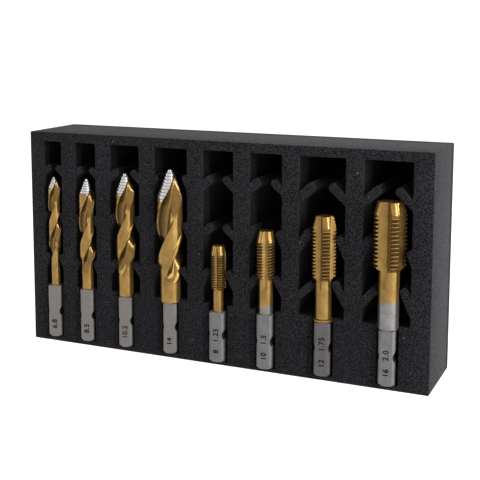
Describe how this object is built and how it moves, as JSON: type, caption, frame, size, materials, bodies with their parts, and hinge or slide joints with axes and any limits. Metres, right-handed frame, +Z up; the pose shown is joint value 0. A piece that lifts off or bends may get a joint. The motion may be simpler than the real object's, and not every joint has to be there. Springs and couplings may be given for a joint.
{
  "type": "tap and drill storage insert",
  "caption": "Soft block with finger-lined pockets and a slotted shelf that hold step-point twist drills and thread taps by their square shanks.",
  "frame": {"origin": "middle of the footprint, on the surface that the block's long edge stands on", "axes": "+X along the block to the right seen from its open front, +Y from the open front to the back, +Z up"},
  "size_m": [0.2238, 0.0494, 0.117],
  "materials": {
    "foam": "matte",
    "backing_foam": "matte",
    "coated_steel": "satin"
  },
  "bodies": {
    "foam_insert": {"foam_pocket_block": "foam", "foam_backing_sheet": "backing_foam"},
    "drill_6_8_body": {"drill_6_8": "coated_steel"},
    "drill_8_5_body": {"drill_8_5": "coated_steel"},
    "drill_10_2_body": {"drill_10_2": "coated_steel"},
    "drill_14_body": {"drill_14": "coated_steel"},
    "tap_m8_body": {"tap_m8": "coated_steel"},
    "tap_m10_body": {"tap_m10": "coated_steel"},
    "tap_m12_body": {"tap_m12": "coated_steel"},
    "tap_m16_body": {"tap_m16": "coated_steel"}
  },
  "joints": [
    {"name": "drill_6_8_lift_out", "type": "slide", "parent": "foam_insert", "child": "drill_6_8_body", "axis": [0, -1, 0], "range_m": [0, 0.04]},
    {"name": "drill_8_5_lift_out", "type": "slide", "parent": "foam_insert", "child": "drill_8_5_body", "axis": [0, -1, 0], "range_m": [0, 0.04]},
    {"name": "drill_10_2_lift_out", "type": "slide", "parent": "foam_insert", "child": "drill_10_2_body", "axis": [0, -1, 0], "range_m": [0, 0.04]},
    {"name": "drill_14_lift_out", "type": "slide", "parent": "foam_insert", "child": "drill_14_body", "axis": [0, -1, 0], "range_m": [0, 0.04]},
    {"name": "tap_m8_lift_out", "type": "slide", "parent": "foam_insert", "child": "tap_m8_body", "axis": [0, -1, 0], "range_m": [0, 0.04]},
    {"name": "tap_m10_lift_out", "type": "slide", "parent": "foam_insert", "child": "tap_m10_body", "axis": [0, -1, 0], "range_m": [0, 0.04]},
    {"name": "tap_m12_lift_out", "type": "slide", "parent": "foam_insert", "child": "tap_m12_body", "axis": [0, -1, 0], "range_m": [0, 0.04]},
    {"name": "tap_m16_lift_out", "type": "slide", "parent": "foam_insert", "child": "tap_m16_body", "axis": [0, -1, 0], "range_m": [0, 0.04]}
  ]
}
